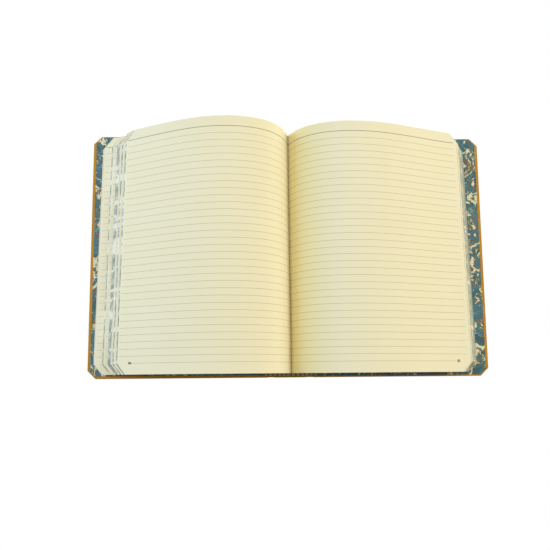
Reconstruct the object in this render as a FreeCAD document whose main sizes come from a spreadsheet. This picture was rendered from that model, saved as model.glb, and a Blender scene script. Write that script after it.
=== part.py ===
import FreeCAD, Part

import os

import Sketcher

# Open composition notebook, lying on its back with the covers flat and the pages parted in the middle.
# Millimetres. X runs across the spread, to the right; Y runs up the page, towards the head; Z is up.
# The origin is on the table, under the middle of the case.

doc = FreeCAD.newDocument("open_notebook")

# Driving sizes
sheet = doc.addObject("Spreadsheet::Sheet", "Sizes")
sheet.Label = "Sizes"

SIZES = {
    # case: two boards, a spine strip between them and a bending joint on each side of it
    "board_width": 188.4,
    "board_height": 264.8,
    "board_thick": 3.0,
    "board_cut": 8.5,
    "board_round": 0.9,
    "spine_width": 34.0,
    "spine_thick": 1.6,
    "spine_round": 0.5,
    "joint_width": 7.0,
    "joint_clear": 0.9,
    "joint_overlap": 1.5,
    "cloth_thick": 0.6,
    "groove_depth": 0.8,
    # endpapers: the glued leaf stops short of the board's edges and leaves the turned-in cloth bare
    "turn_in": 3.2,
    "corner_turn_in": 1.8,
    "head_turn_in": 1.2,
    "left_tail_turn_in": 2.9,
    "right_tail_turn_in": 1.6,
    "pastedown_thick": 0.25,
    "sheet_clear": 0.3,
    "flyleaf_thick": 0.3,
    "flyleaf_margin": 0.8,
    "flyleaf_draw_in": 4.0,
    # page block
    "page_height": 256.0,
    "page_cut_across": 9.0,
    "page_cut_along": 11.0,
    # the fore-edges lie this much closer to the gutter at the head than at the tail
    "head_draw_in": 5.0,
    "gutter_shift": 1.0,
    "gutter_rise": 10.2,
    # height of the top leaf over the block's base, at distances from the gutter
    "left_foot_run": 12.0,
    "left_foot_rise": 30.0,
    "left_crown_run": 60.0,
    "left_crown_rise": 46.6,
    "left_slope_run": 115.0,
    "left_slope_rise": 37.8,
    "left_edge_run": 176.8,
    "left_edge_rise": 16.8,
    "right_foot_run": 12.0,
    "right_foot_rise": 25.0,
    "right_crown_run": 59.0,
    "right_crown_rise": 39.4,
    "right_slope_run": 115.0,
    "right_slope_rise": 32.2,
    "right_edge_run": 185.0,
    "right_edge_rise": 15.8,
    # fanned leaves at the fore-edges: each bundle's fall, and the bare margin of the bundle below it
    "left_fall_a": 1.9,
    "left_fall_b": 2.0,
    "left_fall_c": 5.1,
    "left_fall_d": 1.8,
    "left_margin_a": 2.3,
    "left_margin_b": 1.9,
    "left_margin_c": 4.4,
    "left_margin_d": 8.0,
    "left_fan": 1.0,
    "left_low_fan": 0.5,
    "right_fall_a": 1.5,
    "right_margin_a": 1.3,
    "right_fan": 0.7,
    "right_low_fan": 0.7,
    "margin_pitch": 0.15,
    # hollow between the block's spine and the case, and what lines it
    "hollow_width": 32.0,
    "hollow_rise": 5.0,
    "lining_thick": 0.6,
    "tape_thick": 0.5,
    "tape_length": 10.0,
    "bead_diameter": 2.4,
}

for row, (alias, number) in enumerate(SIZES.items(), start=1):
    sheet.set(f"A{row}", alias)
    sheet.set(f"B{row}", str(number))
    sheet.setAlias(f"B{row}", alias)
doc.recompute()

LEFT = -1
RIGHT = 1
SIDE_NAME = {LEFT: "left", RIGHT: "right"}

# Places that several pieces share, as expressions on the sheet
HINGE_X = "(Sizes.spine_width / 2 + Sizes.joint_width / 2)"
BOARD_IN = "(Sizes.spine_width / 2 + Sizes.joint_width)"
BOARD_OUT = f"({BOARD_IN} + Sizes.board_width)"
HALF_BOARD = "(Sizes.board_height / 2)"
HALF_PAGE = "(Sizes.page_height / 2)"
PASTEDOWN_Z = "Sizes.board_thick"
FLYLEAF_Z = "(Sizes.board_thick + Sizes.pastedown_thick + Sizes.sheet_clear)"
BLOCK_Z = f"({FLYLEAF_Z} + Sizes.flyleaf_thick)"
HOLLOW_R = "((Sizes.hollow_width ^ 2 / 4 + Sizes.hollow_rise ^ 2) / (2 * Sizes.hollow_rise))"
HOLLOW_AXIS_Z = f"({BLOCK_Z} + Sizes.hollow_rise - {HOLLOW_R})"
HOLLOW_ANGLE = f"(2 * asin(Sizes.hollow_width / 2 / {HOLLOW_R}))"


def size(expression):
    """The number that an expression on the sheet comes to."""
    result = sheet.evalExpression(expression)
    return float(getattr(result, "Value", result))


def side_size(side, name):
    return f"Sizes.{SIDE_NAME[side]}_{name}"


def new_body(name):
    body = doc.addObject("PartDesign::Body", name)
    body.Label = name
    return body


def origin_plane(body, role):
    for feature in body.Origin.OriginFeatures:
        if feature.Role == role:
            return feature
    raise ValueError(role)


def new_sketch(body, name, role, lift="0"):
    """An empty sketch on one of the body's own planes, lifted off it by an expression."""
    sketch = body.newObject("Sketcher::SketchObject", name)
    sketch.AttachmentSupport = [(origin_plane(body, role), "")]
    sketch.MapMode = "FlatFace"
    if lift != "0":
        sketch.setExpression("AttachmentOffset.Base.z", lift)
    return sketch


def pin_point(sketch, element, end, across, up):
    """Holds one point of the sketch at two expressions from the sketch's origin."""
    for kind, expression in (("DistanceX", across), ("DistanceY", up)):
        index = sketch.addConstraint(Sketcher.Constraint(kind, -1, 1, element, end, size(expression)))
        sketch.setExpression(f"Constraints[{index}]", expression)


def draw_outline(sketch, corners):
    """A closed outline with straight sides. Each corner is a pair of expressions."""
    points = [FreeCAD.Vector(size(across), size(up), 0) for across, up in corners]
    first = sketch.GeometryCount
    count = len(points)
    for index, point in enumerate(points):
        sketch.addGeometry(Part.LineSegment(point, points[(index + 1) % count]), False)
    for index in range(count):
        follower = first + (index + 1) % count
        sketch.addConstraint(Sketcher.Constraint("Coincident", first + index, 2, follower, 1))
    for index, (across, up) in enumerate(corners):
        pin_point(sketch, first + index, 1, across, up)


def rectangle(low_x, high_x, low_y, high_y):
    return [(low_x, low_y), (high_x, low_y), (high_x, high_y), (low_x, high_y)]


def cut_sheet(side, inner, outer, half_height, cut_across, cut_along, draw_in="0"):
    """A leaf or board whose two corners away from the spine are cut off at a slant.
    Its fore-edge may be drawn in towards the head."""
    near = f"{side} * ({inner})"
    return [
        (near, f"-1 * {half_height}"),
        (f"{side} * ({outer} - {cut_across})", f"-1 * {half_height}"),
        (f"{side} * ({outer})", f"-1 * ({half_height} - {cut_along})"),
        (f"{side} * ({outer} - {draw_in})", f"{half_height} - {cut_along}"),
        (f"{side} * ({outer} - {draw_in} - {cut_across})", half_height),
        (near, half_height),
    ]


def add_pad(body, name, sketch, thickness):
    pad = body.newObject("PartDesign::Pad", name)
    pad.Profile = sketch
    pad.setExpression("Length", thickness)
    sketch.Visibility = False
    doc.recompute()
    return pad


def round_rims(body, name, base, radius):
    """Rounds every edge of the padded sheet apart from its upright ones."""
    rims = []
    for index, edge in enumerate(base.Shape.Edges, start=1):
        start, end = edge.Vertexes[0].Point, edge.Vertexes[-1].Point
        if abs(start.z - end.z) < 1e-6:
            rims.append(f"Edge{index}")
    fillet = body.newObject("PartDesign::Fillet", name)
    fillet.Base = (base, rims)
    fillet.setExpression("Radius", radius)
    doc.recompute()
    return fillet


# Covers: a board wrapped in cloth, with the strip of cloth that bends in the joint
def make_cover(side):
    name = f"{SIDE_NAME[side]}_cover"
    body = new_body(name)
    board = new_sketch(body, f"{name}_outline", "XY_Plane")
    draw_outline(
        board,
        cut_sheet(side, BOARD_IN, BOARD_OUT, HALF_BOARD, "Sizes.board_cut", "Sizes.board_cut"),
    )
    pad = add_pad(body, f"{name}_board", board, "Sizes.board_thick")
    round_rims(body, f"{name}_wrapped_rims", pad, "min(Sizes.board_round; Sizes.board_thick * 0.45)")
    strip = new_sketch(body, f"{name}_joint_outline", "XY_Plane", "Sizes.groove_depth")
    near = f"{side} * ({HINGE_X} + Sizes.joint_clear / 2)"
    far = f"{side} * ({BOARD_IN} + Sizes.joint_overlap)"
    draw_outline(strip, rectangle(near, far, f"-1 * {HALF_BOARD}", HALF_BOARD))
    add_pad(body, f"{name}_joint_cloth", strip, "Sizes.cloth_thick")
    return body


# Spine: the stiff strip of the case, with its share of both joints
def make_spine():
    body = new_body("spine")
    stiffener = new_sketch(body, "spine_outline", "XY_Plane")
    half = "Sizes.spine_width / 2"
    draw_outline(stiffener, rectangle(f"-1 * {half}", half, f"-1 * {HALF_BOARD}", HALF_BOARD))
    pad = add_pad(body, "spine_stiffener", stiffener, "Sizes.spine_thick")
    round_rims(body, "spine_wrapped_rims", pad, "min(Sizes.spine_round; Sizes.spine_thick * 0.45)")
    cloth = new_sketch(body, "spine_joint_outline", "XY_Plane", "Sizes.groove_depth")
    reach = f"({HINGE_X} - Sizes.joint_clear / 2)"
    draw_outline(cloth, rectangle(f"-1 * {reach}", reach, f"-1 * {HALF_BOARD}", HALF_BOARD))
    add_pad(body, "spine_joint_cloth", cloth, "Sizes.cloth_thick")
    return body


# Pastedowns: the glued leaves of the endpapers, a turn-in's width inside the board's edges
def make_pastedown(side):
    name = f"{SIDE_NAME[side]}_pastedown"
    body = new_body(name)
    outline = new_sketch(body, f"{name}_outline", "XY_Plane", PASTEDOWN_Z)
    near = f"{side} * ({BOARD_IN} + Sizes.board_round)"
    far = f"{side} * ({BOARD_OUT} - Sizes.turn_in)"
    cut = "(Sizes.board_cut + Sizes.corner_turn_in * sqrt(2))"
    corner_y = f"({HALF_BOARD} - {cut} + Sizes.turn_in)"
    tail_in = side_size(side, "tail_turn_in")
    draw_outline(
        outline,
        [
            (near, f"-1 * ({HALF_BOARD} - {tail_in})"),
            (f"{side} * ({BOARD_OUT} - {cut} + {tail_in})", f"-1 * ({HALF_BOARD} - {tail_in})"),
            (far, f"-1 * {corner_y}"),
            (far, corner_y),
            (f"{side} * ({BOARD_OUT} - {cut} + Sizes.head_turn_in)", f"{HALF_BOARD} - Sizes.head_turn_in"),
            (near, f"{HALF_BOARD} - Sizes.head_turn_in"),
        ],
    )
    add_pad(body, f"{name}_sheet", outline, "Sizes.pastedown_thick")
    return body


# Fore-edges: from the top leaf down, each bundle of leaves falls away and bares the next one's margin
BUNDLES = {LEFT: "abcd", RIGHT: "a"}


def base_reach(side):
    """Distance from the gutter to the lowest leaf's fore-edge, as an expression."""
    letters = BUNDLES[side]
    margins = " + ".join(side_size(side, f"margin_{letter}") for letter in letters)
    falls = " + ".join(side_size(side, f"fall_{letter}") for letter in letters)
    low_fall = f"({side_size(side, 'edge_rise')} - ({falls}) - Sizes.margin_pitch * ({margins}))"
    fan = f"{side_size(side, 'fan')} * ({falls}) + {side_size(side, 'low_fan')} * {low_fall}"
    return f"({side_size(side, 'edge_run')} + {margins} + {fan})"


# Flyleaves: the free leaves of the endpapers, flat under the page block
def make_flyleaf(side):
    name = f"{SIDE_NAME[side]}_flyleaf"
    body = new_body(name)
    outline = new_sketch(body, f"{name}_outline", "XY_Plane", FLYLEAF_Z)
    outer = f"({base_reach(side)} + {side} * Sizes.gutter_shift + Sizes.flyleaf_margin)"
    draw_outline(
        outline,
        cut_sheet(
            side,
            "Sizes.hollow_width / 2",
            outer,
            HALF_PAGE,
            "Sizes.page_cut_across",
            "Sizes.page_cut_along",
            "Sizes.flyleaf_draw_in",
        ),
    )
    add_pad(body, f"{name}_sheet", outline, "Sizes.flyleaf_thick")
    return body


def add_wrap(body, name, sketch, axis_index):
    """Turns a section about the hollow's axis, as far as the hollow is wide."""
    wrap = body.newObject("PartDesign::Revolution", name)
    wrap.Profile = sketch
    wrap.ReferenceAxis = (sketch, [f"Axis{axis_index}"])
    wrap.Midplane = True
    wrap.setExpression("Angle", HOLLOW_ANGLE)
    doc.recompute()
    return wrap


def draw_hollow_axis(sketch):
    """A construction line along the axis of the hollow's curve."""
    height = size(HOLLOW_AXIS_Z)
    reach = size(HALF_PAGE)
    low = FreeCAD.Vector(-reach, height, 0)
    high = FreeCAD.Vector(reach, height, 0)
    index = sketch.addGeometry(Part.LineSegment(low, high), True)
    pin_point(sketch, index, 1, f"-1 * {HALF_PAGE}", HOLLOW_AXIS_Z)
    pin_point(sketch, index, 2, HALF_PAGE, HOLLOW_AXIS_Z)


# Spine lining: paper glued over the backs of the sections, curved as they are
def make_spine_lining():
    body = new_body("spine_lining")
    section = new_sketch(body, "spine_lining_section", "YZ_Plane")
    top = f"({HOLLOW_AXIS_Z} + {HOLLOW_R})"
    half = f"({HALF_PAGE} - Sizes.tape_length)"
    draw_outline(section, rectangle(f"-1 * {half}", half, f"{top} - Sizes.lining_thick", top))
    draw_hollow_axis(section)
    add_wrap(body, "spine_lining_curve", section, 0)
    return body


# Headbands: a corded bead at each end of the block's spine, on a tape glued beside the lining
def make_headband(name, end):
    body = new_body(name)
    top = f"({HOLLOW_AXIS_Z} + {HOLLOW_R})"
    radius = "Sizes.bead_diameter / 2"
    tape = new_sketch(body, f"{name}_tape_section", "YZ_Plane")
    inner = f"{end} * ({HALF_PAGE} - Sizes.tape_length)"
    outer = f"{end} * ({HALF_PAGE} + {radius})"
    draw_outline(tape, rectangle(inner, outer, f"{top} - Sizes.tape_thick", top))
    draw_hollow_axis(tape)
    add_wrap(body, f"{name}_tape", tape, 0)
    bead = new_sketch(body, f"{name}_bead_section", "YZ_Plane")
    middle_y = f"{end} * ({HALF_PAGE} + {radius})"
    middle_z = f"{top} - Sizes.tape_thick / 2"
    middle = FreeCAD.Vector(size(middle_y), size(middle_z), 0)
    circle = bead.addGeometry(Part.Circle(middle, FreeCAD.Vector(0, 0, 1), size(radius)), False)
    pin_point(bead, circle, 3, middle_y, middle_z)
    width = bead.addConstraint(Sketcher.Constraint("Radius", circle, size(radius)))
    bead.setExpression(f"Constraints[{width}]", radius)
    draw_hollow_axis(bead)
    add_wrap(body, f"{name}_bead", bead, 0)
    return body


# Page block: a section across both halves, carried from tail to head, with every bundle's corners cut
TAIL = -1
HEAD = 1


def draw_in_at(y):
    """How far the fore-edges are drawn in towards the gutter, at a place between tail and head."""
    return size("Sizes.head_draw_in") * (0.5 + y / size("Sizes.page_height"))


def page_curve(side, end):
    """The top leaf, from the bottom of the gutter over its crown to its fore-edge."""
    base = size(BLOCK_Z)
    y = end * size(HALF_PAGE)
    shift = size("Sizes.gutter_shift")
    points = [FreeCAD.Vector(shift, y, base + size("Sizes.gutter_rise"))]
    for place in ("foot", "crown", "slope", "edge"):
        run = size(side_size(side, f"{place}_run"))
        rise = size(side_size(side, f"{place}_rise"))
        drawn = draw_in_at(y) if place == "edge" else 0
        points.append(FreeCAD.Vector(shift + side * (run - drawn), y, base + rise))
    curve = Part.BSplineCurve()
    curve.interpolate(points)
    return curve


def bundle_edges(side):
    """Top and bottom of each bundle's fore-edge, from the top leaf down to the block's base."""
    base = size(BLOCK_Z)
    fan = size(side_size(side, "fan"))
    pitch = size("Sizes.margin_pitch")
    out = size(side_size(side, "edge_run"))
    high = base + size(side_size(side, "edge_rise"))
    edges = []
    for letter in BUNDLES[side]:
        fall = size(side_size(side, f"fall_{letter}"))
        margin = size(side_size(side, f"margin_{letter}"))
        edges.append(((out, high), (out + fan * fall, high - fall)))
        out += fan * fall + margin
        high -= fall + pitch * margin
    edges.append(((out, high), (out + size(side_size(side, "low_fan")) * (high - base), base)))
    return edges


def section_point(side, place, y):
    run, height = place
    return FreeCAD.Vector(size("Sizes.gutter_shift") + side * (run - draw_in_at(y)), y, height)


def join_ends(tail_wire, head_wire):
    """The solid whose straight lines run from a section at the tail to its twin at the head."""
    return Part.makeLoft([tail_wire, head_wire], True, True)


def cut_corners(solid, side, top, bottom, pitch):
    """Cuts both corners of one bundle on a slant that keeps its edge's width all along."""
    across = size("Sizes.page_cut_across")
    along = size("Sizes.page_cut_along")
    half = size(HALF_PAGE)
    base = size(BLOCK_Z)
    crown = base + size(side_size(side, "crown_rise"))
    beyond = size(base_reach(side)) + across
    outline = [top, bottom, (bottom[0], base - across), (beyond, base - across), (beyond, crown), (top[0], crown)]
    reach = 1.5
    for end in (TAIL, HEAD):
        points = [section_point(side, place, end * (half - along)) for place in outline]
        slant = FreeCAD.Vector(-side * across, end * along, pitch * across)
        tool = Part.Face(Part.makePolygon(points + points[:1])).extrude(slant * reach)
        solid = solid.cut(tool)
    return solid


def block_section(edges, end):
    """Outline of both arches over the hollow, at the tail or the head."""
    base = size(BLOCK_Z)
    y = end * size(HALF_PAGE)
    hollow_half = size("Sizes.hollow_width / 2")
    hollow_ends = [FreeCAD.Vector(x, y, base) for x in (-hollow_half, hollow_half)]
    hollow_top = FreeCAD.Vector(0, y, base + size("Sizes.hollow_rise"))
    outline = [Part.Arc(hollow_ends[0], hollow_top, hollow_ends[1]).toShape()]
    for side, hollow_end in zip((LEFT, RIGHT), hollow_ends):
        top, bottom = edges[side][0]
        corner = section_point(side, (bottom[0], base), y)
        outline += [
            Part.makeLine(hollow_end, corner),
            Part.makeLine(corner, section_point(side, bottom, y)),
            Part.makeLine(section_point(side, bottom, y), section_point(side, top, y)),
            page_curve(side, end).toShape(),
        ]
    return Part.Wire(Part.__sortEdges__(outline))


def make_text_block():
    base = size(BLOCK_Z)
    edges = {side: bundle_edges(side) for side in (LEFT, RIGHT)}
    block = join_ends(block_section(edges, TAIL), block_section(edges, HEAD))
    for side in (LEFT, RIGHT):
        curve = page_curve(side, TAIL)
        slope = curve.tangent(curve.LastParameter)[0]
        block = cut_corners(block, side, *edges[side][0], abs(slope.z / slope.x))

    # bundles fanned out below the top one
    pitch = size("Sizes.margin_pitch")
    for side in (LEFT, RIGHT):
        for top, bottom in edges[side][1:]:
            tuck = 4 * size("Sizes.page_cut_across")
            inner = (top[0] - tuck, top[1] + pitch * tuck)
            ring = [bottom, top, inner, (inner[0], base), (bottom[0], base)]
            places = [place for place in ring if place is not bottom or bottom[1] > base]
            sections = []
            for y in (-size(HALF_PAGE), size(HALF_PAGE)):
                points = [section_point(side, place, y) for place in places]
                sections.append(Part.makePolygon(points + points[:1]))
            bundle = join_ends(*sections)
            block = block.fuse(cut_corners(bundle, side, top, bottom, pitch))
    block = block.removeSplitter()

    feature = doc.addObject("Part::Feature", "text_block")
    feature.Label = "text_block"
    feature.Shape = block.Solids[0]
    feature.Placement = FreeCAD.Placement()
    return feature


pieces = [make_cover(side) for side in (LEFT, RIGHT)]
pieces += [make_pastedown(side) for side in (LEFT, RIGHT)]
pieces.append(make_spine())
pieces += [make_flyleaf(side) for side in (LEFT, RIGHT)]
pieces.append(make_spine_lining())
pieces.append(make_headband("head_headband", 1))
pieces.append(make_headband("tail_headband", -1))
pieces.append(make_text_block())
doc.recompute()

for item in doc.Objects:
    if "Invalid" in item.State or "Error" in item.State:
        raise RuntimeError(f"{item.Name} failed: {item.State}")

os.makedirs("parts", exist_ok=True)
for piece in pieces:
    shape = piece.Shape
    if shape.isNull() or not shape.isValid():
        raise RuntimeError(f"{piece.Label} has no sound shape")
    shape.exportStep(f"parts/{piece.Label}.step")
    box = shape.BoundBox
    print(f"{piece.Label}: {len(shape.Solids)} solid, {shape.Volume:.0f} mm3, "
          f"x {box.XMin:.1f} to {box.XMax:.1f}, y {box.YMin:.1f} to {box.YMax:.1f}, "
          f"z {box.ZMin:.2f} to {box.ZMax:.2f}")
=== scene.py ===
import math

import bmesh
import bpy
from mathutils import Matrix, Vector, noise
from mathutils.bvhtree import BVHTree


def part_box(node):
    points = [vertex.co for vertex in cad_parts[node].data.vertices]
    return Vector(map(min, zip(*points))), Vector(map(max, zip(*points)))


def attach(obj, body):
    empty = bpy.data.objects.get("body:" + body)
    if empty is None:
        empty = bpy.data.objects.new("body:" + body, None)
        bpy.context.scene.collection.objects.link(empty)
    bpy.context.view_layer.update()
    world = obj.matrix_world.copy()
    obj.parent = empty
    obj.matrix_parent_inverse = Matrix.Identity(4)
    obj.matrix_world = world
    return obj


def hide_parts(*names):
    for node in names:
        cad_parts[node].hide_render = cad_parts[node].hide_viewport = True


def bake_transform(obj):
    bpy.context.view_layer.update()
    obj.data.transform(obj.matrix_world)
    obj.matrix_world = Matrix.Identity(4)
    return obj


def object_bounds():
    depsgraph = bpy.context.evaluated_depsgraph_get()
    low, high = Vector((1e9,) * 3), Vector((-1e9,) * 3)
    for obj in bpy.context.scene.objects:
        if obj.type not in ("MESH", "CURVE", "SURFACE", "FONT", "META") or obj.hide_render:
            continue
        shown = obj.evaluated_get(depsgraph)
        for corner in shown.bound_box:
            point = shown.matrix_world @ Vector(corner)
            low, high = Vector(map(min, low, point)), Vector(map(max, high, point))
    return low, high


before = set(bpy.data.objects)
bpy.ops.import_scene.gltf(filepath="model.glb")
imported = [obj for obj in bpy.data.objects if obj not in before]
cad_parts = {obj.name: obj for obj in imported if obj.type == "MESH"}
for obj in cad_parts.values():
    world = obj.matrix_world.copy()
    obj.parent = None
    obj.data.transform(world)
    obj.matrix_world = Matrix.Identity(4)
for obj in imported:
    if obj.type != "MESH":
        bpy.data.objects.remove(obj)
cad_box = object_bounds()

MM = 0.001
LEFT = -1
RIGHT = 1
TAIL = -1
HEAD = 1
SIDE_NAME = {LEFT: "left", RIGHT: "right"}

# Page block: some 340 leaves of cream writing paper, sewn in sections and trimmed together.
# It lies open in the middle, so each half arches over from the gutter and its fore-edge fans out
# in bundles. The trimmed edges were printed in grey-green while the book was closed.
# Places nearer than these count as level with each other, and as one point
CLOSE = 0.05 * MM
WELD = 0.001 * MM
HALF_CLOSED_THICKNESS = 17 * MM
# Each half is a grid: columns across the page and over its cut corner, and lanes from tail to head
PAGE_COLUMNS = 66
CORNER_COLUMNS = 4
LANES = 44
# The fore-edge's own shape sets in from this share of the columns on, and the hollow's shape fades
# out over this many of them
HOLD_FROM = 0.6
HOLLOW_COLUMNS = 12
# The leaves are drawn in rows, each some three leaves thick, and a bare margin counts as a thinner one
LEAVES_IN_ROW = 0.28 * MM
MARGIN_SLIDE = 0.2 * MM
# Unevenness of the leaves: how far they slip past each other, and how far the top one cockles. A wave
# is the length over which that changes, and a step the same from row to row
SLIP = 0.18 * MM
SLIP_WAVE = 60 * MM
SLIP_STEP = 3.7
END_SLIP_WAVE = 70 * MM
END_SLIP_STEP = 2.3
COCKLE = 0.25 * MM
COCKLE_WAVE = (60 * MM, 48 * MM)
# How far the top leaves lean to the left in the gutter, and over how many columns
GUTTER_LEAN_FOOT = 0.5 * MM
GUTTER_LEAN_HEAD = 1.6 * MM
LEAN_COLUMNS = 16
# Bare margin between the fore-edge and the ends of the rules
RULE_STOP = {LEFT: 1.4 * MM, RIGHT: 3.9 * MM}

solid_block = bmesh.new()
solid_block.from_mesh(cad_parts["text_block"].data)
block_probe = BVHTree.FromBMesh(solid_block)
block_places = [vert.co.copy() for vert in solid_block.verts]
solid_block.free()
block_low, block_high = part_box("text_block")
half_page = block_high.y


def leaf_height(x, y=0.0, from_above=True):
    """Height of the top leaf at a place on the spread, or of the block's underside."""
    way = -1 if from_above else 1
    start = Vector((x, y, -2 * way * block_high.z))
    return block_probe.ray_cast(start, Vector((0, 0, way)))[0].z


gutter_x = min((0.1 * MM * step for step in range(-60, 61)), key=leaf_height)
hollow_half = max(p.x for p in block_places if p.z < block_low.z + CLOSE and p.x < half_page / 4)


def bundle_corners(side, end):
    """Bottom and top of each bundle's fore-edge from the base up, read where the cut corner begins."""
    outermost = max(block_places, key=lambda p: side * p.x)
    corner_y = end * abs(outermost.y)
    reached = {}
    for p in block_places:
        if abs(p.y - corner_y) < CLOSE and side * p.x > side * outermost.x / 2:
            height = round(p.z, 6)
            reached[height] = max(side * p.x, reached.get(height, 0.0))
    return corner_y, [Vector((side * reach, height)) for height, reach in sorted(reached.items())]


def corner_cut(side):
    """How far the cut of a half's page corners reaches across the page and along it."""
    tail_y, corners = bundle_corners(side, TAIL)
    tail_edge = [side * p.x for p in block_places if p.y < tail_y - CLOSE and p.z < block_low.z + CLOSE]
    return side * corners[0].x - max(tail_edge), half_page + tail_y


def evenly(points, steps):
    """A line of points measured off again in equal steps."""
    lengths = [0.0]
    for start, end in zip(points, points[1:]):
        lengths.append(lengths[-1] + (end - start).length)
    line = []
    index = 0
    for step in range(steps + 1):
        target = lengths[-1] * step / steps
        while index < len(points) - 2 and lengths[index + 1] < target:
            index += 1
        share = (target - lengths[index]) / (lengths[index + 1] - lengths[index])
        line.append(points[index].lerp(points[index + 1], share))
    return line


def eased(points, passes):
    """A line of points with its small facets smoothed away and its ends kept."""
    for _ in range(passes):
        inner = [(a + 2 * b + c) / 4 for a, b, c in zip(points, points[1:], points[2:])]
        points = [points[0], *inner, points[-1]]
    return points


def top_leaf(side, edge, y):
    """The top leaf from the bottom of the gutter to its fore-edge, in steps of about 1.4 mm."""
    probe_count = 400
    run = abs(edge.x - gutter_x)
    probes = [gutter_x + side * run * step / probe_count for step in range(probe_count)]
    measured = [Vector((x, leaf_height(x, y))) for x in probes] + [edge]
    return eased(evenly(measured, 140), passes=8)


def cut_line(line, side, cut_x, columns):
    """The line in equal columns up to where its corner is cut, and in short ones past that."""
    near = [p for p in line if side * p.x < side * cut_x]
    far = [p for p in line if side * p.x > side * cut_x]
    start, end = near[-1], far[0]
    corner = start.lerp(end, (cut_x - start.x) / (end.x - start.x))
    return evenly(near + [corner], columns) + evenly([corner] + far, CORNER_COLUMNS)[1:]


def leaf_rows(corners):
    """Each row of leaves from the base up: its share of the thickness, its edge, if a margin follows."""
    rows = []
    depth = 0.0
    for index, (bottom, top) in enumerate(zip(corners, corners[1:])):
        is_margin = index % 2 == 1
        thickness = MARGIN_SLIDE if is_margin else top.y - bottom.y
        steps = 1 if is_margin else max(1, round(thickness / LEAVES_IN_ROW))
        for step in range(steps):
            rows.append((depth + thickness * step / steps, bottom.lerp(top, step / steps), is_margin))
        depth += thickness
    rows.append((depth, corners[-1], False))
    return [(reached / depth, edge, is_margin) for reached, edge, is_margin in rows]


def slice_box(bm, counts):
    """A unit box sliced along X, Y and Z, as a list of its corners with their step numbers."""
    bmesh.ops.create_cube(bm, size=1)
    for axis, count in enumerate(counts):
        along = [edge for edge in bm.edges if abs(edge.verts[0].co[axis] - edge.verts[1].co[axis]) > 0.5]
        bmesh.ops.subdivide_edges(bm, edges=along, cuts=count - 1, use_grid_fill=True)
    return {
        vert: tuple(round((vert.co[axis] + 0.5) * counts[axis]) for axis in range(3))
        for vert in bm.verts
    }


def smooth_step(share):
    """An even rise from 0 to 1 that starts and ends gently."""
    share = min(max(share, 0.0), 1.0)
    return share * share * (3 - 2 * share)


def half_section(side, end, cut_across):
    """One half of the block cut across where its corner begins: its rows of leaves, base and top leaf."""
    corner_y, corners = bundle_corners(side, end)
    closed_part = Vector((gutter_x, leaf_height(gutter_x, from_above=False)))
    top_run = top_leaf(side, corners[-1], corner_y)
    top_line = [closed_part] + cut_line(top_run, side, corners[-1].x - side * cut_across, PAGE_COLUMNS)
    base_run = evenly([Vector((side * hollow_half, block_low.z)), corners[0]], 40)
    base_line = cut_line(base_run, side, corners[0].x - side * cut_across, PAGE_COLUMNS + 1)
    return leaf_rows(corners), base_line, top_line


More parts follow.
